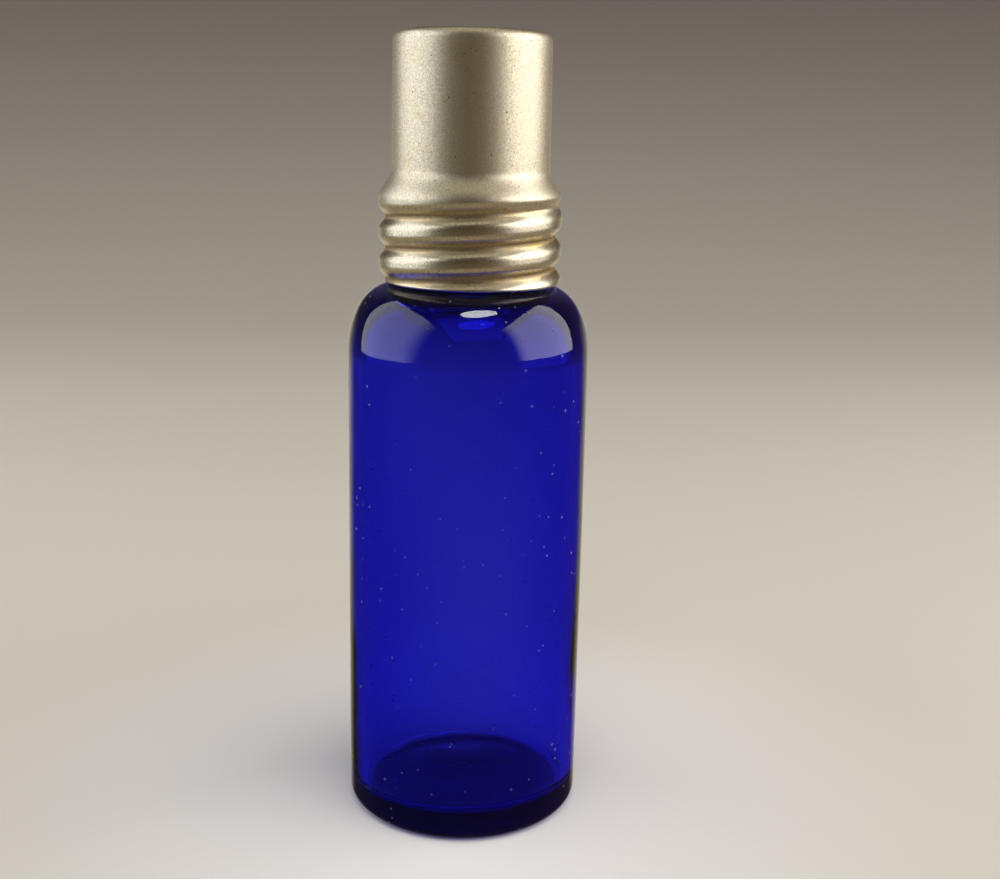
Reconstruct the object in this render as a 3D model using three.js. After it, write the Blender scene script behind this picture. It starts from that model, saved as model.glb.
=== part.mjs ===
// A small aftershave bottle: a moulded blue glass bottle with a screw-threaded neck, and a tall
// metal cap with a rolled thread that holds a cork wad and its foil facing over the lip.
//
// Millimetres, +Z up. The origin is the centre of the resting plane under the base.
import * as THREE from "three";

const TURN = 2 * Math.PI;
const COLUMNS = 36; // facets round every turned piece

// Glass body
const BODY_RADIUS = 12.7;
const GLASS_WALL = 1.5;
const HEEL_RADIUS = 1.4;
const RING_INNER_RADIUS = 7.4; // inner edge of the flat ring that the bottle rests on
const PUSH_UP_HEIGHT = 0.8; // how far the base is domed up inside that ring
const FLOOR_HEIGHT = 1.6; // lowest part of the hollow
const FLOOR_RISE = 0.9; // the hollow's floor follows the push-up at the centre
const HOLLOW_HEEL_WIDTH = 2.2; // an elliptical curve joins the hollow's floor and wall,
const HOLLOW_HEEL_HEIGHT = 1.4; // so the glass is thickest at the heel
const HOLLOW_TOP = 56; // roof of the hollow beside the neck
const ROOF_RADIUS = 7; // where the roof begins to curve down with the shoulder
const SHOULDER_START = 50.5;
const SHOULDER_TOP = 57.6;
const SHOULDER_FULLNESS = 2.1; // exponent of the shoulder's curve: 2 is an ellipse, more is squarer

// Glass neck
const NECK_RADIUS = 7.85;
const BORE_RADIUS = 5;
const BORE_ROUND = 1.5; // rounding where the bore opens into the hollow
const LIP_HEIGHT = 65.8;
const LIP_ROUND = 0.6;

// Screw thread, right-handed, shared by the glass ridge and the groove rolled into the cap
const PITCH = 3.175;
const GROOVE_LINE = 62.82; // height of the cap's middle groove at the +X side
const GROOVE_DEPTH = 0.7;
const GROOVE_FULL = 0.75 * TURN; // the groove is at full depth up to here along its helix,
const GROOVE_END = 1.25 * TURN; // and has run out here
const RIDGE_LINE = 63.81; // height of the glass ridge at the +X side: it bears up on the groove
const RIDGE_HEIGHT = 0.95;
const RIDGE_HALF_WIDTH = 1.1;
const RIDGE_START = -1.45 * TURN; // angles along the helix where the glass ridge starts and ends
const RIDGE_END = 0.16 * TURN;
const RIDGE_FADE = 0.12 * TURN;

// Metal cap
const SHEET = 0.4;
const CAP_RIM = 57.8;
const CAP_TOP = 82.87;
const SKIRT_RADIUS = 9.5;
const FLARE_START = 66.4;
const FLARE_END = 69.3;
const TUBE_RADIUS = 8.14; // where the flare meets the tube
const TUBE_TOP_RADIUS = 8.05; // the drawn tube narrows slightly upwards
const TOP_CORNER_RADIUS = 1;
const ROW_STEP = 0.42; // spacing of the rows that carry a thread

// Wad and facing
const WAD_RADIUS = 8.2;
const WAD_THICKNESS = 1.65;
const WAD_CHAMFER = 0.25;
const FACING_RADIUS = 8.1;
const FACING_THICKNESS = 0.2;
const SEAL_GAP = 0.1; // lip to facing, and facing to wad

const { lerp, smoothstep } = THREE.MathUtils;

// Evenly spaced numbers from start to end, both included.
function spread(start, end, steps) {
  return Array.from({ length: steps + 1 }, (_, i) => lerp(start, end, i / steps));
}

// Points of a quarter curve about (radius, height): an ellipse where fullness is 2.
function curve(radius, height, width, rise, from, to, steps, fullness = 2) {
  return spread(from, to, steps).map((degrees) => {
    const angle = THREE.MathUtils.degToRad(degrees);
    const across = Math.sign(Math.cos(angle)) * Math.abs(Math.cos(angle)) ** (2 / fullness);
    const up = Math.sign(Math.sin(angle)) * Math.abs(Math.sin(angle)) ** (2 / fullness);
    return [radius + width * across, height + rise * up];
  });
}

// The turn of a helical line that passes nearest to a point on a turned surface: the angle
// counted along the helix, and how far the point is above the line.
function nearestTurn(angle, height, line) {
  const along = angle + TURN * Math.round((height - line) / PITCH - angle / TURN);
  return { along, above: height - line - (PITCH * along) / TURN };
}

// How far the groove rolled into the cap goes in at a point.
function grooveDepth(angle, height) {
  const { along, above } = nearestTurn(angle, height, GROOVE_LINE);
  const section = (0.5 + 0.5 * Math.cos((TURN * above) / PITCH)) ** 2;
  return GROOVE_DEPTH * section * (1 - smoothstep(along, GROOVE_FULL, GROOVE_END));
}

// How far the glass thread stands out at a point.
function ridgeHeight(angle, height) {
  const { along, above } = nearestTurn(angle, height, RIDGE_LINE);
  const across = Math.min(Math.abs(above) / RIDGE_HALF_WIDTH, 1);
  const section = (0.5 + 0.5 * Math.cos(Math.PI * across)) ** 0.7;
  const start = smoothstep(along, RIDGE_START, RIDGE_START + RIDGE_FADE);
  const end = 1 - smoothstep(along, RIDGE_END - RIDGE_FADE, RIDGE_END);
  return RIDGE_HEIGHT * section * start * end;
}

// Outer radius of the cap's wall, without its groove.
function capEnvelope(height) {
  if (height < FLARE_END) {
    const flare = 1 - smoothstep(height, FLARE_START, FLARE_END);
    return TUBE_RADIUS + (SKIRT_RADIUS - TUBE_RADIUS) * flare;
  }
  return lerp(TUBE_RADIUS, TUBE_TOP_RADIUS, (height - FLARE_END) / (CAP_TOP - FLARE_END));
}

const capRadius = (angle, height) => capEnvelope(height) - grooveDepth(angle, height);

// Closed body swept round +Z. profileAt(angle) gives [radius, height] points, the same number at
// every angle, from the axis round the section and back to the axis, with the solid on the left.
function turnedBody(profileAt) {
  const sections = spread(0, TURN, COLUMNS).slice(0, COLUMNS).map((angle) => ({
    angle,
    points: profileAt(angle),
  }));
  const rings = sections[0].points.length - 2;
  const first = sections[0].points[0];
  const last = sections[0].points[rings + 1];
  const position = [0, 0, first[1]];
  for (let ring = 1; ring <= rings; ring++) {
    for (const { angle, points } of sections) {
      const [radius, height] = points[ring];
      position.push(radius * Math.cos(angle), radius * Math.sin(angle), height);
    }
  }
  position.push(0, 0, last[1]);

  const firstPole = 0;
  const lastPole = 1 + rings * COLUMNS;
  const vertex = (ring, column) => 1 + ring * COLUMNS + (column % COLUMNS);
  const index = [];
  for (let column = 0; column < COLUMNS; column++) {
    index.push(firstPole, vertex(0, column + 1), vertex(0, column));
    for (let ring = 0; ring < rings - 1; ring++) {
      const a = vertex(ring, column);
      const b = vertex(ring, column + 1);
      const c = vertex(ring + 1, column + 1);
      const d = vertex(ring + 1, column);
      index.push(a, b, c, a, c, d);
    }
    index.push(vertex(rings - 1, column), vertex(rings - 1, column + 1), lastPole);
  }
  const geometry = new THREE.BufferGeometry();
  geometry.setAttribute("position", new THREE.Float32BufferAttribute(position, 3));
  geometry.setIndex(index);
  geometry.computeVertexNormals();
  return geometry;
}

// Bottle: from the centre of the push-up, out and up the outside, over the lip, and down inside.
function bottleProfile(angle) {
  const hollowRadius = BODY_RADIUS - GLASS_WALL;
  const hollowShoulder = SHOULDER_START - 0.4 * GLASS_WALL;
  const floorEdge = hollowRadius - HOLLOW_HEEL_WIDTH;
  const threadRows = Math.round((LIP_HEIGHT - LIP_ROUND - SHOULDER_TOP) / ROW_STEP);
  const pushUp = [0, 0.4, 0.75, 1].map((t) => [RING_INNER_RADIUS * t, PUSH_UP_HEIGHT * (1 - t * t)]);
  const heel = curve(BODY_RADIUS - HEEL_RADIUS, HEEL_RADIUS, HEEL_RADIUS, HEEL_RADIUS, -90, 0, 3);
  const shoulder = curve(
    NECK_RADIUS, SHOULDER_START, BODY_RADIUS - NECK_RADIUS, SHOULDER_TOP - SHOULDER_START,
    0, 84, 7, SHOULDER_FULLNESS,
  );
  const thread = spread(SHOULDER_TOP, LIP_HEIGHT - LIP_ROUND, threadRows).map((height) => [
    NECK_RADIUS + ridgeHeight(angle, height),
    height,
  ]);
  const lipRadius = NECK_RADIUS - LIP_ROUND;
  const lip = curve(lipRadius, LIP_HEIGHT - LIP_ROUND, LIP_ROUND, LIP_ROUND, 30, 90, 2);
  const mouth = curve(BORE_RADIUS + LIP_ROUND, LIP_HEIGHT - LIP_ROUND, LIP_ROUND, LIP_ROUND, 90, 180, 3);
  const boreEnd = curve(
    BORE_RADIUS + BORE_ROUND, HOLLOW_TOP + BORE_ROUND, BORE_ROUND, BORE_ROUND, 180, 270, 3,
  );
  const hollowTop = curve(
    ROOF_RADIUS, hollowShoulder, hollowRadius - ROOF_RADIUS, HOLLOW_TOP - hollowShoulder,
    90, 0, 6, SHOULDER_FULLNESS,
  );
  const hollowHeel = curve(
    floorEdge, FLOOR_HEIGHT + HOLLOW_HEEL_HEIGHT, HOLLOW_HEEL_WIDTH, HOLLOW_HEEL_HEIGHT, 0, -90, 4,
  );
  const floor = [0.6, 0.3, 0].map((t) => [floorEdge * t, FLOOR_HEIGHT + FLOOR_RISE * (1 - t * t)]);
  return [
    ...pushUp, ...heel, ...shoulder, ...thread, ...lip, ...mouth, ...boreEnd, ...hollowTop,
    ...hollowHeel, ...floor,
  ];
}

// Cap: from the axis under the top plate, down the inside, round the rim and up the outside.
function capProfile(angle) {
  const skirtRows = Math.round((FLARE_START - CAP_RIM) / ROW_STEP);
  const corner = CAP_TOP - TOP_CORNER_RADIUS;
  const heights = [...spread(CAP_RIM, FLARE_START, skirtRows), ...spread(FLARE_START, FLARE_END, 7).slice(1)];
  const outside = heights.map((height) => [capRadius(angle, height), height]);
  const inside = outside.map(([radius, height]) => [radius - SHEET, height]).reverse();
  const outerCorner = curve(
    TUBE_TOP_RADIUS - TOP_CORNER_RADIUS, corner, TOP_CORNER_RADIUS, TOP_CORNER_RADIUS, 0, 90, 4,
  );
  const innerRound = TOP_CORNER_RADIUS - SHEET;
  const innerCorner = curve(TUBE_TOP_RADIUS - TOP_CORNER_RADIUS, corner, innerRound, innerRound, 90, 0, 3);
  return [[0, CAP_TOP - SHEET], ...innerCorner, ...inside, ...outside, ...outerCorner, [0, CAP_TOP]];
}

// Flat disc with a chamfered upper edge.
function discProfile(radius, bottom, thickness, chamfer) {
  const top = bottom + thickness;
  return [[0, bottom], [radius, bottom], [radius, top - chamfer], [radius - chamfer, top], [0, top]];
}

function makeMesh(name, geometry, look) {
  const mesh = new THREE.Mesh(geometry, new THREE.MeshStandardMaterial(look));
  mesh.name = name;
  return mesh;
}

const blueGlass = { color: "#1a1296", roughness: 0.05, metalness: 0, transparent: true, opacity: 0.6 };
const satinMetal = { color: "#c4bba4", roughness: 0.35, metalness: 1 };
const cork = { color: "#a9794b", roughness: 0.9, metalness: 0 };
const foil = { color: "#c9c8c4", roughness: 0.3, metalness: 1 };

const facingBottom = LIP_HEIGHT + SEAL_GAP;
const wadBottom = facingBottom + FACING_THICKNESS + SEAL_GAP;

const bottle = new THREE.Group();
bottle.add(
  makeMesh("glass_bottle", turnedBody(bottleProfile), blueGlass),
  makeMesh("cap_shell", turnedBody(capProfile), satinMetal),
  makeMesh(
    "liner_facing",
    turnedBody(() => discProfile(FACING_RADIUS, facingBottom, FACING_THICKNESS, FACING_THICKNESS / 4)),
    foil,
  ),
  makeMesh(
    "cork_wad",
    turnedBody(() => discProfile(WAD_RADIUS, wadBottom, WAD_THICKNESS, WAD_CHAMFER)),
    cork,
  ),
);

export default bottle;
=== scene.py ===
"""A small aftershave bottle: blue glass, satin screw cap, cork wad and foil facing, on a pale studio sweep.

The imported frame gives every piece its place. Lengths are in metres, +Z is up, and the bottle stands
on the origin. Each operator builds one piece, rides it on its moving body and gives it its finish.
"""

import math

import bpy
import numpy as np
from bpy.props import FloatProperty, FloatVectorProperty, PointerProperty
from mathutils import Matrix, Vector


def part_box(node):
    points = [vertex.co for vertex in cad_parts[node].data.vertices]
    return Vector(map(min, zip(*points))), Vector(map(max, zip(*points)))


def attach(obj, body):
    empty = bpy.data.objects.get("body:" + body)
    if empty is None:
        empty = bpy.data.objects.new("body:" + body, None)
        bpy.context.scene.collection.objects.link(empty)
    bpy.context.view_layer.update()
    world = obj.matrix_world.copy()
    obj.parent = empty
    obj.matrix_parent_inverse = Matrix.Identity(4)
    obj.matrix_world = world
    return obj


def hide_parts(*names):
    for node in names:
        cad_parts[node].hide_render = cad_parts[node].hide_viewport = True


bl_info = {
    "name": "Aftershave Bottle",
    "version": (1, 0, 0),
    "blender": (4, 5, 0),
    "location": "View3D > Sidebar > Aftershave Bottle",
    "description": "Builds a glass aftershave bottle with its screw cap, wad and facing, and its stage",
    "category": "Object",
}

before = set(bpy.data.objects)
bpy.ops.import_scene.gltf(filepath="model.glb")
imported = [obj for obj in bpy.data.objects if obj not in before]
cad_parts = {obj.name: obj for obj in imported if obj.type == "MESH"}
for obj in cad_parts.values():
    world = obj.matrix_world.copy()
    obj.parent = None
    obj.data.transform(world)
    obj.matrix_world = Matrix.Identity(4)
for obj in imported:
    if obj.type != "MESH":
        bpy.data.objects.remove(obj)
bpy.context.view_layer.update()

MM = 0.001
TURN = 2 * math.pi
SEED = 11

# Turns, counted from the +X side, between which the groove and the ridge rise and run out
GROOVE_END = (0.75, 1.25)
RIDGE_START = (-1.45, -1.33)
RIDGE_END = (0.04, 0.16)

# Places of the colour sockets in a Mix node, whose names are shared with its other kinds of value
MIX_FIRST, MIX_SECOND, MIX_RESULT = 6, 7, 2

BOTTLE_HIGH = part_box("glass_bottle")[1]
CAP_LOW, CAP_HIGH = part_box("cap_shell")
WAD_LOW, WAD_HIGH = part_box("cork_wad")
FACING_LOW, FACING_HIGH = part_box("liner_facing")


# Sizes and colours that a user would change


class BottleSettings(bpy.types.PropertyGroup):
    """Sizes and glass of the bottle."""

    heel_radius: FloatProperty(
        name="Heel radius", description="Rounding where the wall meets the base",
        default=1.4 * MM, unit="LENGTH")
    push_up_radius: FloatProperty(
        name="Push-up radius", description="Edge of the domed part of the base",
        default=7.4 * MM, unit="LENGTH")
    push_up_height: FloatProperty(
        name="Push-up height", description="How far the base is domed up",
        default=0.8 * MM, unit="LENGTH")
    wall: FloatProperty(
        name="Wall", description="Mean thickness of the glass wall",
        default=1.5 * MM, unit="LENGTH")
    shoulder_start: FloatProperty(
        name="Shoulder start", description="Height where the wall begins to curve in",
        default=50.5 * MM, unit="LENGTH")
    shoulder_top: FloatProperty(
        name="Shoulder top", description="Height where the shoulder meets the neck",
        default=57.6 * MM, unit="LENGTH")
    neck_radius: FloatProperty(
        name="Neck radius", description="Radius of the neck under its thread",
        default=7.85 * MM, unit="LENGTH")
    bore_radius: FloatProperty(
        name="Bore radius", description="Radius of the opening through the neck",
        default=5.0 * MM, unit="LENGTH")
    lip_round: FloatProperty(
        name="Lip rounding", description="Fire-polished rounding of the lip",
        default=0.6 * MM, unit="LENGTH")
    floor_height: FloatProperty(
        name="Floor height", description="Mean height of the edge of the hollow's floor",
        default=1.6 * MM, unit="LENGTH")
    floor_rise: FloatProperty(
        name="Floor rise", description="How far the hollow's floor rises to its centre",
        default=0.9 * MM, unit="LENGTH")
    floor_tilt: FloatProperty(
        name="Floor tilt", description="How much the glass is thicker at one side of the heel",
        default=1.1 * MM, unit="LENGTH")
    floor_tilt_angle: FloatProperty(
        name="Floor tilt angle", description="Side where the heel is thickest, counted from +X",
        default=math.radians(-75), unit="ROTATION")
    hollow_heel: FloatProperty(
        name="Hollow heel", description="Height of the curve from the hollow's floor into its wall",
        default=1.4 * MM, unit="LENGTH")
    hollow_heel_width: FloatProperty(
        name="Hollow heel width", description="Width of the curve from the hollow's floor into its wall",
        default=2.2 * MM, unit="LENGTH")
    hollow_top: FloatProperty(
        name="Hollow top", description="Height of the hollow's roof beside the neck",
        default=56.0 * MM, unit="LENGTH")
    absorption_colour: FloatVectorProperty(
        name="Glass colour", description="What the glass lets through, against the density",
        size=3, subtype="COLOR", default=(0.037, 0.074, 0.924))
    absorption_density: FloatProperty(
        name="Glass density", description="How strongly the glass takes light away, per metre",
        default=1350.0)


class CapSettings(bpy.types.PropertyGroup):
    """Sizes and metal of the cap, and the screw thread that it shares with the neck."""

    sheet: FloatProperty(
        name="Sheet", description="Thickness of the drawn metal",
        default=0.4 * MM, unit="LENGTH")
    skirt_radius: FloatProperty(
        name="Skirt radius", description="Radius over the thread's beads",
        default=9.5 * MM, unit="LENGTH")
    flare_start: FloatProperty(
        name="Flare start", description="Height where the skirt begins to narrow",
        default=66.4 * MM, unit="LENGTH")
    flare_end: FloatProperty(
        name="Flare end", description="Height where the flare meets the tube",
        default=69.3 * MM, unit="LENGTH")
    tube_radius: FloatProperty(
        name="Tube radius", description="Radius of the tube at the flare",
        default=8.14 * MM, unit="LENGTH")
    tube_top_radius: FloatProperty(
        name="Tube top radius", description="Radius of the tube at its top",
        default=8.05 * MM, unit="LENGTH")
    corner_radius: FloatProperty(
        name="Corner radius", description="Rounding of the tube's closed end",
        default=1.0 * MM, unit="LENGTH")
    pitch: FloatProperty(
        name="Pitch", description="Rise of the thread in one turn",
        default=3.175 * MM, unit="LENGTH")
    groove_line: FloatProperty(
        name="Groove line", description="Height of the middle groove at the +X side",
        default=62.82 * MM, unit="LENGTH")
    groove_depth: FloatProperty(
        name="Groove depth", description="Depth of the rolled groove",
        default=0.7 * MM, unit="LENGTH")
    ridge_line: FloatProperty(
        name="Ridge line", description="Height of the neck's thread at the +X side",
        default=63.81 * MM, unit="LENGTH")
    ridge_height: FloatProperty(
        name="Ridge height", description="Height of the neck's thread",
        default=0.95 * MM, unit="LENGTH")
    ridge_half_width: FloatProperty(
        name="Ridge half width", description="Half the width of the neck's thread at its foot",
        default=1.1 * MM, unit="LENGTH")
    metal_colour: FloatVectorProperty(
        name="Metal colour", description="Clean metal", size=3, subtype="COLOR",
        default=(0.79, 0.725, 0.57))
    tarnish_colour: FloatVectorProperty(
        name="Tarnish colour", description="Brassy tarnish in the grooves", size=3,
        subtype="COLOR", default=(0.60, 0.42, 0.13))


class StageSettings(bpy.types.PropertyGroup):
    """Floor, lights and camera."""

    # The floor's colours are painted light and shade: pale next to the bottle, and darker and browner
    # towards the sweep's raised edge, as the light falls off
    near_lit_colour: FloatVectorProperty(
        name="Near floor", description="Colour of the sweep round the bottle", size=3,
        subtype="COLOR", default=(0.69, 0.68, 0.665))
    middle_colour: FloatVectorProperty(
        name="Middle floor", description="Colour of the sweep behind the bottle", size=3,
        subtype="COLOR", default=(0.575, 0.55, 0.49))
    far_shaded_colour: FloatVectorProperty(
        name="Far floor", description="Colour of the sweep's raised edge", size=3,
        subtype="COLOR", default=(0.19, 0.143, 0.138))
    left_radiance: FloatProperty(
        name="Left light", description="Brightness of the left side light", default=1.65)
    right_radiance: FloatProperty(
        name="Right light", description="Brightness of the right side light", default=2.6)
    small_radiance: FloatProperty(
        name="Small light", description="Brightness of the small high light in front", default=8.0)
    top_radiance: FloatProperty(
        name="Top light", description="Brightness of the soft light that the cap's edges reflect",
        default=0.5)
    bounce_radiance: FloatProperty(
        name="Floor bounce", description="Brightness of the floor as the cap reflects it", default=0.25)
    fill_radiance: FloatProperty(
        name="Fill light", description="Brightness of the overhead light on the floor", default=3.2)
    room_left: FloatVectorProperty(
        name="Room left", description="Colour of the room at the left", size=3,
        subtype="COLOR", default=(0.052, 0.040, 0.020))
    room_right: FloatVectorProperty(
        name="Room right", description="Colour of the room at the right", size=3,
        subtype="COLOR", default=(0.070, 0.042, 0.022))
    room_back: FloatVectorProperty(
        name="Room back", description="Colour of the room behind the bottle", size=3,
        subtype="COLOR", default=(0.60, 0.545, 0.44))
    camera_place: FloatVectorProperty(
        name="Camera place", description="Where the camera stands", size=3,
        subtype="TRANSLATION", default=(0.0, -0.13633, 0.07351))
    camera_pitch: FloatProperty(
        name="Camera pitch", description="How far the camera looks down",
        default=math.radians(13.47), unit="ROTATION")
    camera_yaw: FloatProperty(
        name="Camera yaw", description="How far the camera is turned to its right",
        default=math.radians(1.49), unit="ROTATION")
    camera_roll: FloatProperty(
        name="Camera roll", description="How far the camera is rolled",
        default=math.radians(1.19), unit="ROTATION")
    lens: FloatProperty(
        name="Lens", description="Focal length in millimetres", default=46.8)


# Shapes


def curve(radius, height, width, rise, start, end, steps, fullness=2.0):
    """Points of a quarter curve about (radius, height): an ellipse where fullness is 2."""
    angle = np.radians(np.linspace(start, end, steps))
    across = np.sign(np.cos(angle)) * np.abs(np.cos(angle)) ** (2 / fullness)
    up = np.sign(np.sin(angle)) * np.abs(np.sin(angle)) ** (2 / fullness)
    return np.column_stack((radius + width * across, height + rise * up))


def straight(start, end, steps):
    """Evenly spaced points between two points, without the first, which the last run has."""
    share = np.linspace(0, 1, steps + 1)[1:, None]
    return np.array(start) * (1 - share) + np.array(end) * share


def smoothstep(value, start, end):
    """0 at start and 1 at end, level at both."""
    share = np.clip((value - start) / (end - start), 0, 1)
    return share * share * (3 - 2 * share)


def spun(profile, columns):
    """A profile's radius and height, each repeated for every column."""
    return [np.repeat(profile[:, i:i + 1], columns, axis=1) for i in (0, 1)]


def nearest_turn(angle, height, line, pitch):
    """The angle along a helical line, and the height above it, of the turn nearest to a point."""
    along = angle + TURN * np.round((height - line) / pitch - angle / TURN)
    return along, height - line - pitch * along / TURN


def groove(angle, height, cap):
    """How far the groove rolled into the cap goes in at a point."""
    along, above = nearest_turn(angle, height, cap.groove_line, cap.pitch)
    section = (0.5 + 0.5 * np.cos(TURN * above / cap.pitch)) ** 2
    return cap.groove_depth * section * (1 - smoothstep(along / TURN, *GROOVE_END))


def ridge(angle, height, cap):
    """How far the thread on the neck stands out at a point."""
    along, above = nearest_turn(angle, height, cap.ridge_line, cap.pitch)
    across = np.minimum(np.abs(above) / cap.ridge_half_width, 1)
    section = (0.5 + 0.5 * np.cos(math.pi * across)) ** 0.7
    start = smoothstep(along / TURN, *RIDGE_START)
    end = 1 - smoothstep(along / TURN, *RIDGE_END)
    return cap.ridge_height * section * start * end


def turned_mesh(name, radius, height, columns):
    """A closed body swept round Z. radius and height are rings by columns, without the two poles
    on the axis, whose heights are the means of the first and the last ring."""
    angle = np.arange(columns) * TURN / columns
    rings = len(radius)
    grid = np.stack(
        (radius * np.cos(angle), radius * np.sin(angle), height), axis=-1
    ).reshape(-1, 3)
    first, last = grid[:columns, 2].mean(), grid[-columns:, 2].mean()
    points = np.vstack(([0, 0, first], grid, [0, 0, last]))
    column = np.arange(columns)
    after = (column + 1) % columns
    faces = [(0, 1 + b, 1 + a) for a, b in zip(column, after)]
    for ring in range(rings - 1):
        low, high = 1 + ring * columns, 1 + (ring + 1) * columns
        faces += [(low + a, low + b, high + b, high + a) for a, b in zip(column, after)]
    top = 1 + (rings - 1) * columns
    faces += [(top + a, top + b, len(points) - 1) for a, b in zip(column, after)]
    mesh = bpy.data.meshes.new(name)
    mesh.from_pydata(points.tolist(), [], faces)
    mesh.shade_smooth()
    mesh.update()
    return mesh


def add_piece(name, mesh, material, body, node):
    """Links a piece, rides it on its body and lets it stand for its CAD node."""
    piece = bpy.data.objects.new(name, mesh)
    bpy.context.scene.collection.objects.link(piece)
    mesh.materials.append(material)
    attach(piece, body)
    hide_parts(node)
    return piece


# Materials


def smooth_ramp(tree, source, low, high, start=0.0, end=1.0):
    """A node's output, mapped smoothly from low and high to start and end."""
    node = tree.nodes.new("ShaderNodeMapRange")
    node.interpolation_type = "SMOOTHSTEP"
    for name, value in (("From Min", low), ("From Max", high), ("To Min", start), ("To Max", end)):
        node.inputs[name].default_value = value
    tree.links.new(source, node.inputs["Value"])
    return node.outputs["Result"]


class Finish:
    """A node material under construction, in which texture coordinates are in millimetres."""

    def __init__(self, name):
        self.material = bpy.data.materials.new(name)
        self.material.use_nodes = True
        self.tree = self.material.node_tree
        self.tree.nodes.clear()
        self.output = self.add("ShaderNodeOutputMaterial")
        place = self.add("ShaderNodeTexCoord")
        scale = self.add("ShaderNodeVectorMath", operation="SCALE")
        scale.inputs["Scale"].default_value = 1 / MM
        self.link(place.outputs["Object"], scale.inputs[0])
        self.place = scale.outputs[0]
        apart = self.add("ShaderNodeSeparateXYZ")
        self.link(self.place, apart.inputs[0])
        self.across, self.along, self.height = apart.outputs
        squares = [self.maths("MULTIPLY", axis, axis) for axis in (self.across, self.along)]
        self.radius = self.maths("SQRT", self.maths("ADD", *squares), 0)

    def add(self, kind, **values):
        node = self.tree.nodes.new(kind)
        for key, value in values.items():
            setattr(node, key, value)
        return node

    def link(self, source, target):
        self.tree.links.new(source, target)

    def principled(self, **values):
        shader = self.add("ShaderNodeBsdfPrincipled")
        for key, value in values.items():
            shader.inputs[key.replace("_", " ")].default_value = value
        self.link(shader.outputs[0], self.output.inputs["Surface"])
        return shader

    def noise(self, scale, detail=2.0, roughness=0.5, stretch=(1, 1, 1)):
        """Noise whose scale is its features per millimetre, squeezed along the axes by stretch."""
        texture = self.add("ShaderNodeTexNoise")
        texture.inputs["Scale"].default_value = scale
        texture.inputs["Detail"].default_value = detail
        texture.inputs["Roughness"].default_value = roughness
        self.link(self.stretched(stretch), texture.inputs["Vector"])
        return texture.outputs["Fac"]

    def stretched(self, stretch):
        """The texture coordinates, multiplied along each axis."""
        if tuple(stretch) == (1, 1, 1):
            return self.place
        node = self.add("ShaderNodeVectorMath", operation="MULTIPLY")
        node.inputs[1].default_value = stretch
        self.link(self.place, node.inputs[0])
        return node.outputs[0]

    def cells(self, scale, feature="F1"):
        """A texture of cells round scattered points, about scale of them per millimetre."""
        texture = self.add("ShaderNodeTexVoronoi", feature=feature)
        texture.inputs["Scale"].default_value = scale
        self.link(self.place, texture.inputs["Vector"])
        return texture

    def ramp(self, source, low, high, start=0.0, end=1.0):
        """Source between low and high, mapped smoothly to start and end."""
        return smooth_ramp(self.tree, source, low, high, start, end)

    def maths(self, operation, first, second):
        """Two outputs or numbers, put together by one operation."""
        node = self.add("ShaderNodeMath", operation=operation)
        for socket, value in zip(node.inputs, (first, second)):
            if isinstance(value, (int, float)):
                socket.default_value = value
            else:
                self.link(value, socket)
        return node.outputs[0]

    def blend(self, factor, first, second):
        """A colour that goes from first to second with factor."""
        node = self.add("ShaderNodeMix", data_type="RGBA")
        self.link(factor, node.inputs["Factor"])
        for place, value in ((MIX_FIRST, first), (MIX_SECOND, second)):
            socket = node.inputs[place]
            if isinstance(value, tuple):
                socket.default_value = (*value, 1)
            else:
                self.link(value, socket)
        return node.outputs[MIX_RESULT]

    def bump(self, height, strength, distance, after=None):
        """A bump whose height is one where the surface stands distance proud, in metres."""
        node = self.add("ShaderNodeBump")
        node.inputs["Strength"].default_value = strength
        node.inputs["Distance"].default_value = distance
        self.link(height, node.inputs["Height"])
        if after is not None:
            self.link(after, node.inputs["Normal"])
        return node.outputs["Normal"]


def blue_glass(bottle):
    finish = Finish("blue_glass")
    shader = finish.principled(
        Transmission_Weight=1.0, IOR=1.52, Sheen_Roughness=0.5, Sheen_Tint=(0.7, 0.7, 1.0, 1))
    absorption = finish.add("ShaderNodeVolumeAbsorption")
    absorption.inputs["Color"].default_value = (*bottle.absorption_colour, 1)
    absorption.inputs["Density"].default_value = bottle.absorption_density
    finish.link(absorption.outputs[0], finish.output.inputs["Volume"])

    faint = finish.noise(0.22, 3, 0.55)
    tint = finish.blend(faint, (0.97, 0.975, 1.0), (1.0, 1.0, 1.0))
    finish.link(tint, shader.inputs["Base Color"])

    # Handling marks: specks of dust, dull smears, a film under the cap and a worn underside
    specks = finish.ramp(finish.cells(0.9).outputs["Distance"], 0.09, 0.14, 1, 0)
    patch = finish.ramp(finish.noise(0.35, 2), 0.48, 0.6)
    dust = finish.maths("MULTIPLY", specks, patch)
    smear = finish.ramp(finish.noise(0.3, 5, 0.6, (1, 1, 0.5)), 0.55, 0.8, 0.0, 0.05)
    shoulder_top = bottle.shoulder_top / MM
    under_cap = finish.ramp(finish.height, shoulder_top - 1.6, shoulder_top - 0.3)
    uneven = finish.ramp(finish.noise(1.2, 4, 0.6), 0.25, 0.75, 0.5, 1.0)
    film = finish.maths("MULTIPLY", under_cap, uneven)
    underside = finish.ramp(finish.height, 0.9, 1.2, 0.45, 0)
    inward = finish.ramp(finish.radius, 11.3, 11.8, 1, 0)
    worn = finish.maths("MULTIPLY", underside, inward)
    rough = finish.maths("ADD", smear, finish.maths("MULTIPLY", dust, 0.4))
    rough = finish.maths("ADD", rough, worn)
    rough = finish.maths("ADD", rough, finish.maths("MULTIPLY", film, 0.1))
    finish.link(rough, shader.inputs["Roughness"])
    veil = finish.maths("MAXIMUM", dust, finish.maths("MULTIPLY", film, 0.08))
    finish.link(veil, shader.inputs["Sheen Weight"])

    wave = finish.bump(finish.noise(0.16, 2, 0.4, (1, 1, 0.55)), 0.5, 0.25 * MM)
    finish.link(finish.bump(dust, 0.4, 0.02 * MM, wave), shader.inputs["Normal"])
    return finish.material


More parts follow.
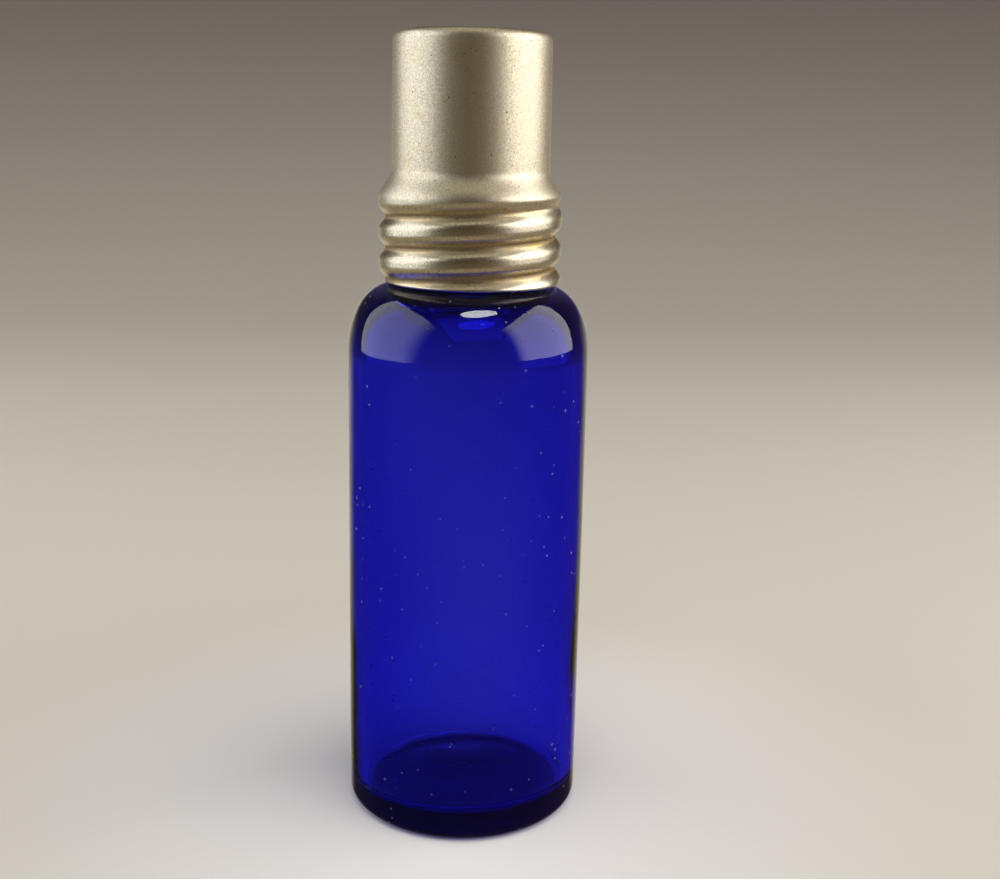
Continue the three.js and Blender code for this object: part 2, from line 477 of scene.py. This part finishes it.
def satin_metal(cap):
    finish = Finish("satin_metal")
    shader = finish.principled(Metallic=1.0)
    clean = tuple(cap.metal_colour)
    grain = finish.noise(6.5, 4, 0.75, (1, 1, 0.8))
    cloud = finish.noise(0.45, 4, 0.6)
    tarnish = tuple(cap.tarnish_colour)
    dulled = tuple(0.64 * part for part in clean)
    metal = finish.blend(finish.ramp(grain, 0.38, 0.68), clean, dulled)
    metal = finish.blend(finish.ramp(cloud, 0.52, 0.8, 0.0, 0.28), metal, tarnish)

    # Brassy tarnish lies in the rolled grooves, most of all at one side; the deepest part of the grooves is
    # painted dark brown as painted shade in the recess
    skirt = finish.ramp(finish.height, 65.2, 66.2, 1, 0)
    deep = finish.maths("MULTIPLY", skirt, finish.ramp(finish.radius, 8.8, 9.2, 1, 0))
    side = finish.ramp(finish.across, 3.0, 7.5, 0.55, 0.95)
    patch = finish.ramp(finish.noise(0.9, 4, 0.65), 0.35, 0.6, 0.35, 1.0)
    stain = finish.maths("MULTIPLY", deep, finish.maths("MULTIPLY", side, patch))
    metal = finish.blend(stain, metal, tarnish)
    # Painted shade: the deepest part of the skirt's grooves is darkened to dark brown and made rougher
    groove_shade = finish.maths("MULTIPLY", skirt, finish.ramp(finish.radius, 8.8, 8.95, 0.6, 0))
    metal = finish.blend(groove_shade, metal, (0.16, 0.12, 0.07))

    # Pits are scattered in patches, and finer specks are thickest where the metal is cloudy
    pits = finish.ramp(finish.cells(1.3).outputs["Distance"], 0.08, 0.14, 1, 0)
    pitted = finish.maths("MULTIPLY", pits, finish.ramp(finish.noise(0.6, 2), 0.5, 0.6))
    specks = finish.ramp(finish.cells(4.2).outputs["Distance"], 0.16, 0.3, 0.6, 0)
    marks = finish.maths("MAXIMUM", pitted, finish.maths("MULTIPLY", specks, cloud))
    finish.link(finish.blend(marks, metal, (0.12, 0.085, 0.05)), shader.inputs["Base Color"])

    rough = finish.ramp(grain, 0.3, 0.7, 0.36, 0.5)
    rough = finish.maths("SUBTRACT", rough, finish.maths("MULTIPLY", skirt, 0.12))
    rough = finish.maths("ADD", rough, finish.maths("MULTIPLY", groove_shade, 0.4))
    finish.link(rough, shader.inputs["Roughness"])
    texture = finish.bump(finish.noise(5.0, 3, 0.6), 0.4, 0.02 * MM)
    finish.link(finish.bump(marks, 0.5, -0.02 * MM, texture), shader.inputs["Normal"])
    return finish.material


def composition_cork():
    finish = Finish("composition_cork")
    shader = finish.principled(Roughness=0.9)
    grains = finish.cells(1.5)
    tone = finish.add("ShaderNodeSeparateColor")
    finish.link(grains.outputs["Color"], tone.inputs[0])
    pale = finish.blend(tone.outputs[0], (0.46, 0.28, 0.13), (0.62, 0.42, 0.22))
    edges = finish.cells(1.5, "DISTANCE_TO_EDGE")
    seam = finish.ramp(edges.outputs["Distance"], 0.0, 0.09, 1, 0)
    coloured = finish.blend(seam, pale, (0.16, 0.085, 0.035))
    finish.link(coloured, shader.inputs["Base Color"])
    body = finish.bump(finish.noise(6.0, 4, 0.6), 0.5, 0.05 * MM)
    finish.link(finish.bump(seam, 0.8, -0.06 * MM, body), shader.inputs["Normal"])
    return finish.material


def crinkled_foil():
    finish = Finish("crinkled_foil")
    shader = finish.principled(Metallic=1.0)
    stain = finish.ramp(finish.noise(0.5, 4, 0.6), 0.45, 0.75)
    foil = finish.blend(stain, (0.84, 0.84, 0.83), (0.66, 0.60, 0.50))
    finish.link(foil, shader.inputs["Base Color"])
    finish.link(finish.ramp(finish.noise(2.5, 3), 0.3, 0.7, 0.18, 0.4), shader.inputs["Roughness"])
    creases = finish.cells(0.9, "DISTANCE_TO_EDGE").outputs["Distance"]
    folded = finish.bump(finish.ramp(creases, 0.0, 0.25), 0.35, 0.08 * MM)
    finish.link(finish.bump(finish.noise(4.0, 3), 0.25, 0.02 * MM, folded), shader.inputs["Normal"])
    return finish.material


def studio_sweep(stage):
    finish = Finish("studio_sweep")
    shader = finish.principled(Roughness=0.75)
    # Painted light and shade: the floor is paler next to the bottle and fades darker and browner with
    # distance from it and with height up the sweep
    away = finish.maths("ADD", finish.radius, finish.maths("MULTIPLY", finish.height, 1.5))
    near, middle, far = (
        tuple(colour) for colour in (stage.near_lit_colour, stage.middle_colour, stage.far_shaded_colour))
    floor = finish.blend(finish.ramp(away, 14.0, 65.0), near, middle)
    floor = finish.blend(finish.ramp(away, 480.0, 1500.0), floor, far)
    finish.link(floor, shader.inputs["Base Color"])
    grain = finish.bump(finish.noise(0.8, 3), 0.15, 0.1 * MM)
    finish.link(grain, shader.inputs["Normal"])
    return finish.material


# Operators


class GlassBottleOperator(bpy.types.Operator):
    """Builds the glass bottle with its hollow, uneven heel and screw thread"""

    bl_idname = "aftershave.glass_bottle"
    bl_label = "Glass Bottle"

    columns = 240
    fullness = 2.1  # of the shoulder's curve, a little squarer than an ellipse
    fillet = 0.5 * MM
    bore_round = 1.5 * MM
    roof_radius = 7.0 * MM
    still_rings = 8  # rings of the hollow's roof, next to the neck, that do not wander

    def execute(self, context):
        bottle, cap = context.scene.bottle_settings, context.scene.cap_settings
        body_radius = BOTTLE_HIGH.x
        lip_height = BOTTLE_HIGH.z
        hollow_radius = body_radius - bottle.wall
        hollow_shoulder = bottle.shoulder_start - 0.4 * bottle.wall
        bore_bottom = bottle.hollow_top + self.bore_round

        dome = np.linspace(0, 1, 26)[1:]
        push_up = np.column_stack((
            bottle.push_up_radius * dome,
            bottle.push_up_height * (0.5 + 0.5 * np.cos(math.pi * dome))))
        heel_centre = body_radius - bottle.heel_radius
        ring = straight((bottle.push_up_radius, 0), (heel_centre, 0), 5)[:-1]
        heel = curve(
            heel_centre, bottle.heel_radius, bottle.heel_radius, bottle.heel_radius, -90, 0, 12)
        wall = straight((body_radius, bottle.heel_radius), (body_radius, bottle.shoulder_start), 50)[:-1]
        shoulder = curve(
            bottle.neck_radius, bottle.shoulder_start, body_radius - bottle.neck_radius,
            bottle.shoulder_top - bottle.shoulder_start, 0, 90, 60, self.fullness)
        shoulder = shoulder[shoulder[:, 0] > bottle.neck_radius + self.fillet]
        root = curve(
            bottle.neck_radius + self.fillet, bottle.shoulder_top + self.fillet,
            self.fillet, self.fillet, -95, -180, 7)
        lip_start = lip_height - bottle.lip_round
        neck = straight(root[-1], (bottle.neck_radius, lip_start), 92)
        lip = curve(
            bottle.neck_radius - bottle.lip_round, lip_start, bottle.lip_round, bottle.lip_round,
            8, 90, 10)
        mouth = curve(
            bottle.bore_radius + bottle.lip_round, lip_start, bottle.lip_round, bottle.lip_round,
            90, 180, 10)
        bore = straight((bottle.bore_radius, lip_start), (bottle.bore_radius, bore_bottom), 24)[:-1]
        bore_end = curve(
            bottle.bore_radius + self.bore_round, bore_bottom, self.bore_round, self.bore_round,
            180, 270, 12)
        hollow_top = curve(
            self.roof_radius, hollow_shoulder, hollow_radius - self.roof_radius,
            bottle.hollow_top - hollow_shoulder, 90, 0, 44, self.fullness)
        heel_top = bottle.floor_height + bottle.hollow_heel
        inside = straight((hollow_radius, hollow_shoulder), (hollow_radius, heel_top), 60)[:-1]
        floor_edge = hollow_radius - bottle.hollow_heel_width
        hollow_heel = curve(
            floor_edge, heel_top, bottle.hollow_heel_width, bottle.hollow_heel, 0, -90, 32)
        span = np.linspace(1, 0, 22)[1:-1]
        floor = np.column_stack((
            floor_edge * span,
            bottle.floor_height + bottle.floor_rise * (0.5 + 0.5 * np.cos(math.pi * span))))

        before_neck = np.vstack((push_up, ring, heel, wall, shoulder, root))
        before_hollow = np.vstack((before_neck, neck, lip, mouth, bore, bore_end))
        profile = np.vstack((before_hollow, hollow_top, inside, hollow_heel, floor))
        angle = np.arange(self.columns) * TURN / self.columns
        radius, height = spun(profile, self.columns)

        threaded = slice(len(before_neck), len(before_neck) + len(neck))
        radius[threaded] += ridge(angle, height[threaded], cap)

        # The hollow is blown, not cut: its wall wanders and its floor is higher at one side
        hollow = slice(len(before_hollow) + self.still_rings, None)
        along = height[hollow] / (20 * MM)
        wander = (
            0.10 * np.sin(angle + 0.8 * along + 2.1)
            + 0.05 * np.sin(2 * angle - 1.7 * along)
            + 0.03 * np.sin(3 * angle + 2.9 * along + 1.0)) * MM
        radius[hollow] += wander * radius[hollow] / hollow_radius
        low = slice(len(before_hollow) + len(hollow_top), None)
        settle = 1 - smoothstep(height[low], heel_top, 4 * heel_top)
        lean = np.cos(angle - bottle.floor_tilt_angle) * (radius[low] / hollow_radius) ** 3
        height[low] += bottle.floor_tilt * lean * settle

        mesh = turned_mesh("bottle_glass", radius, height, self.columns)
        add_piece("bottle_glass", mesh, blue_glass(bottle), "bottle", "glass_bottle")
        return {"FINISHED"}


class CapShellOperator(bpy.types.Operator):
    """Builds the drawn metal cap with its flare, rolled thread and curled rim"""

    bl_idname = "aftershave.cap_shell"
    bl_label = "Cap Shell"

    columns = 240

    def outer_radius(self, cap, angle, height):
        """The outer face's radius at a point, from the skirt up to the tube's corner."""
        flare = 1 - smoothstep(height, cap.flare_start, cap.flare_end)
        up = np.clip((height - cap.flare_end) / (CAP_HIGH.z - cap.flare_end), 0, 1)
        tube = cap.tube_radius + (cap.tube_top_radius - cap.tube_radius) * up
        return tube + (cap.skirt_radius - cap.tube_radius) * flare - groove(angle, height, cap)

    def execute(self, context):
        cap = context.scene.cap_settings
        corner = CAP_HIGH.z - cap.corner_radius
        corner_axis = cap.tube_top_radius - cap.corner_radius
        inner_round = cap.corner_radius - cap.sheet
        angle = np.arange(self.columns) * TURN / self.columns

        edge = cap.sheet / 2
        skirt = np.linspace(CAP_LOW.z + edge, cap.flare_start, 110)
        flare = np.linspace(cap.flare_start, cap.flare_end, 30)[1:]
        tube = np.linspace(cap.flare_end, corner, 30)[1:]
        levels = np.concatenate((skirt, flare, tube))[:, None] * np.ones(self.columns)
        outside = self.outer_radius(cap, angle, levels)
        inside = outside - cap.sheet

        rim_turn = np.radians(np.linspace(180, 360, 11))[1:-1, None]
        rim_radius = (outside[0] + inside[0]) / 2 + edge * np.cos(rim_turn)
        rim_height = CAP_LOW.z + edge + edge * np.sin(rim_turn) * np.ones(self.columns)

        under = straight((0, CAP_HIGH.z - cap.sheet), (corner_axis, CAP_HIGH.z - cap.sheet), 8)
        inner_corner = curve(corner_axis, corner, inner_round, inner_round, 90, 0, 8)[1:-1]
        outer_corner = curve(
            corner_axis, corner, cap.corner_radius, cap.corner_radius, 0, 90, 14)[1:]
        top = straight((corner_axis, CAP_HIGH.z), (0, CAP_HIGH.z), 8)[:-1]

        roof_radius, roof_height = spun(np.vstack((under, inner_corner)), self.columns)
        top_radius, top_height = spun(np.vstack((outer_corner, top)), self.columns)
        radius = np.vstack((roof_radius, inside[::-1], rim_radius, outside, top_radius))
        height = np.vstack((roof_height, levels[::-1], rim_height, levels, top_height))
        mesh = turned_mesh("cap_metal", radius, height, self.columns)
        add_piece("cap_metal", mesh, satin_metal(cap), "cap", "cap_shell")
        return {"FINISHED"}


class CorkWadOperator(bpy.types.Operator):
    """Builds the cork wad with its pressed edge"""

    bl_idname = "aftershave.cork_wad"
    bl_label = "Cork Wad"

    columns = 160
    edge_round = 0.25 * MM
    crumb_depth = 0.05 * MM

    def execute(self, context):
        edge = self.edge_round
        radius_out = WAD_HIGH.x
        bottom, top = WAD_LOW.z, WAD_HIGH.z
        profile = np.vstack((
            straight((0, bottom), (radius_out - edge, bottom), 30)[:-1],
            curve(radius_out - edge, bottom + edge, edge, edge, -90, 0, 6),
            straight((radius_out, bottom + edge), (radius_out, top - edge), 16)[:-1],
            curve(radius_out - edge, top - edge, edge, edge, 0, 90, 6),
            straight((radius_out - edge, top), (0, top), 30)[:-1]))
        radius, height = spun(profile, self.columns)
        crumbs = np.random.default_rng(SEED).uniform(0, 1, radius.shape)
        radius -= self.crumb_depth * crumbs * (radius > 0.5 * radius_out)
        mesh = turned_mesh("wad_cork", radius, height, self.columns)
        add_piece("wad_cork", mesh, composition_cork(), "liner", "cork_wad")
        return {"FINISHED"}


class LinerFacingOperator(bpy.types.Operator):
    """Builds the foil facing with the ring that the lip has pressed into it"""

    bl_idname = "aftershave.liner_facing"
    bl_label = "Liner Facing"

    columns = 160
    press_depth = 0.06 * MM

    def execute(self, context):
        bottle = context.scene.bottle_settings
        radius_out = FACING_HIGH.x
        bottom, top = FACING_LOW.z, FACING_HIGH.z
        edge = (top - bottom) / 2
        under = straight((0, bottom), (radius_out - edge, bottom), 80)[:-1]
        land = (under[:, 0] - bottle.bore_radius) / (bottle.neck_radius - bottle.bore_radius)
        pressed = smoothstep(land, 0.0, 0.25) * (1 - smoothstep(land, 0.75, 1.0))
        under[:, 1] += self.press_depth * pressed
        profile = np.vstack((
            under,
            curve(radius_out - edge, bottom + edge, edge, edge, -90, 90, 9),
            straight((radius_out - edge, top), (0, top), 30)[:-1]))
        radius, height = spun(profile, self.columns)
        mesh = turned_mesh("facing_foil", radius, height, self.columns)
        add_piece("facing_foil", mesh, crinkled_foil(), "liner", "liner_facing")
        return {"FINISHED"}


class StageOperator(bpy.types.Operator):
    """Sets the sweep, the lights, the room's soft light and the camera"""

    bl_idname = "aftershave.stage"
    bl_label = "Stage"

    flat_radius = 0.35
    rise_width = 0.65
    rise_height = 0.45
    sweep_edge = (1.05, 0.75)
    below_base = 0.05 * MM

    def sweep(self, stage):
        """A round floor whose edge curves up all round."""
        columns = 128
        flat = straight((0, 0), (self.flat_radius, 0), 12)
        rise = curve(
            self.flat_radius, self.rise_height, self.rise_width, self.rise_height, -90, -8, 30)[1:]
        wall = straight(rise[-1], self.sweep_edge, 6)
        profile = np.vstack((flat, rise, wall))
        angle = np.arange(columns) * TURN / columns
        points = [(0.0, 0.0, 0.0)]
        for radius, height in profile:
            points += [(radius * math.cos(a), radius * math.sin(a), height) for a in angle]
        faces = [(0, 1 + a, 1 + (a + 1) % columns) for a in range(columns)]
        for ring in range(len(profile) - 1):
            low, high = 1 + ring * columns, 1 + (ring + 1) * columns
            for a in range(columns):
                b = (a + 1) % columns
                faces.append((low + a, high + a, high + b, low + b))
        mesh = bpy.data.meshes.new("sweep")
        mesh.from_pydata(points, [], faces)
        mesh.shade_smooth()
        mesh.materials.append(studio_sweep(stage))
        floor = bpy.data.objects.new("sweep", mesh)
        floor.location.z = -self.below_base
        bpy.context.scene.collection.objects.link(floor)
        floor.visible_glossy = False

    def panel(self, name, place, target, size, radiance, colour, fade=None, shape="RECTANGLE"):
        """A soft light. Its brightness rises from none to full between the two shares of its width
        that fade gives."""
        light = bpy.data.lights.new(name, "AREA")
        light.shape = shape
        light.size, light.size_y = size
        light.energy = math.pi * radiance * size[0] * size[1]
        light.color = colour
        if fade:
            light.use_nodes = True
            tree = light.node_tree
            spot = tree.nodes.new("ShaderNodeNewGeometry")
            apart = tree.nodes.new("ShaderNodeSeparateXYZ")
            tree.links.new(spot.outputs["Parametric"], apart.inputs[0])
            strength = smooth_ramp(tree, apart.outputs[0], *fade)
            tree.links.new(strength, tree.nodes["Emission"].inputs["Strength"])
        lamp = bpy.data.objects.new(name, light)
        lamp.location = place
        aim = Vector(target) - Vector(place)
        lamp.rotation_euler = aim.to_track_quat("-Z", "Y").to_euler()
        lamp.visible_camera = False
        bpy.context.scene.collection.objects.link(lamp)
        return lamp

    def only_on(self, lamp, name):
        """Lets a light fall on one piece alone."""
        group = bpy.data.collections.new(lamp.name + "_receivers")
        group.objects.link(bpy.data.objects[name])
        lamp.light_linking.receiver_collection = group

    def room(self, stage):
        """The room that the bottle reflects: dark, redder at the right, and pale low down behind."""
        world = bpy.data.worlds.new("room")
        world.use_nodes = True
        tree = world.node_tree
        toward = tree.nodes.new("ShaderNodeTexCoord")
        apart = tree.nodes.new("ShaderNodeSeparateXYZ")
        tree.links.new(toward.outputs["Generated"], apart.inputs[0])
        spans = ((-0.5, 0.5), (0.7, 0.95), (0.12, -0.08))
        right, behind, low_down = (
            smooth_ramp(tree, part, *span) for part, span in zip(apart.outputs, spans))
        pale = tree.nodes.new("ShaderNodeMath")
        pale.operation = "MULTIPLY"
        tree.links.new(behind, pale.inputs[0])
        tree.links.new(low_down, pale.inputs[1])
        front, whole = (tree.nodes.new("ShaderNodeMix") for _ in range(2))
        front.data_type = whole.data_type = "RGBA"
        tree.links.new(right, front.inputs["Factor"])
        front.inputs[MIX_FIRST].default_value = (*stage.room_left, 1)
        front.inputs[MIX_SECOND].default_value = (*stage.room_right, 1)
        tree.links.new(pale.outputs[0], whole.inputs["Factor"])
        tree.links.new(front.outputs[MIX_RESULT], whole.inputs[MIX_FIRST])
        whole.inputs[MIX_SECOND].default_value = (*stage.room_back, 1)
        tree.links.new(whole.outputs[MIX_RESULT], tree.nodes["Background"].inputs["Color"])
        bpy.context.scene.world = world

    def execute(self, context):
        stage = context.scene.stage_settings
        self.sweep(stage)
        self.panel(
            "side_light_left", (-0.33, -0.08, 0.19), (0, -0.08, 0.06), (0.60, 0.40),
            stage.left_radiance, (0.97, 0.98, 1.0), fade=(1.0, 0.6))
        self.panel(
            "side_light_right", (0.33, -0.11, 0.205), (0, -0.11, 0.06), (0.56, 0.37),
            stage.right_radiance, (1.0, 0.97, 0.92), fade=(0.0, 0.28))
        small = self.panel(
            "small_light", (0.07, -0.21, 0.6), (0, 0, 0.05), (0.29, 0.18),
            stage.small_radiance, (1.0, 1.0, 1.0), shape="ELLIPSE")
        self.only_on(small, "bottle_glass")
        top = self.panel(
            "top_light", (0.0, -0.05, 0.6), (0, 0, 0.07), (0.6, 0.5),
            stage.top_radiance, (1.0, 0.96, 0.76))
        self.only_on(top, "cap_metal")
        bounce = self.panel(
            "floor_bounce", (0.0, 0.0, 0.001), (0, 0, 1), (0.5, 0.5),
            stage.bounce_radiance, (1.0, 0.87, 0.6))
        self.only_on(bounce, "cap_metal")
        fill = self.panel(
            "fill_light", (0.1, -0.5, 1.1), (0, 0, 0), (1.0, 1.0),
            stage.fill_radiance, (1.0, 0.98, 0.96))
        fill.visible_glossy = False
        self.room(stage)

        lens = bpy.data.cameras.new("camera")
        lens.lens = stage.lens
        lens.sensor_width = 36
        lens.clip_start, lens.clip_end = 0.01, 10
        camera = bpy.data.objects.new("camera", lens)
        turn = Matrix.Rotation(-stage.camera_yaw, 4, "Z")
        tip = Matrix.Rotation(math.pi / 2 - stage.camera_pitch, 4, "X")
        roll = Matrix.Rotation(stage.camera_roll, 4, "Z")
        camera.matrix_world = Matrix.Translation(stage.camera_place) @ turn @ tip @ roll
        context.scene.collection.objects.link(camera)
        context.scene.camera = camera
        context.scene.view_settings.view_transform = "Standard"
        return {"FINISHED"}


class AftershaveBottlePanel(bpy.types.Panel):
    """Lists the operators in the order in which they are run"""

    bl_idname = "VIEW3D_PT_aftershave_bottle"
    bl_label = "Aftershave Bottle"
    bl_space_type = "VIEW_3D"
    bl_region_type = "UI"
    bl_category = "Aftershave Bottle"

    def draw(self, context):
        for operator in OPERATORS:
            self.layout.operator(operator.bl_idname)


SETTINGS = {
    "bottle_settings": BottleSettings,
    "cap_settings": CapSettings,
    "stage_settings": StageSettings,
}
OPERATORS = (
    GlassBottleOperator, CapShellOperator, CorkWadOperator, LinerFacingOperator, StageOperator)


def register():
    for group in SETTINGS.values():
        bpy.utils.register_class(group)
    for name, group in SETTINGS.items():
        setattr(bpy.types.Scene, name, PointerProperty(type=group))
    for operator in (*OPERATORS, AftershaveBottlePanel):
        bpy.utils.register_class(operator)


def unregister():
    for operator in (AftershaveBottlePanel, *reversed(OPERATORS)):
        bpy.utils.unregister_class(operator)
    for name, group in reversed(SETTINGS.items()):
        delattr(bpy.types.Scene, name)
        bpy.utils.unregister_class(group)


def main():
    register()
    bpy.ops.aftershave.glass_bottle()
    bpy.ops.aftershave.cap_shell()
    bpy.ops.aftershave.cork_wad()
    bpy.ops.aftershave.liner_facing()
    bpy.ops.aftershave.stage()


if __name__ == "__main__":
    main()
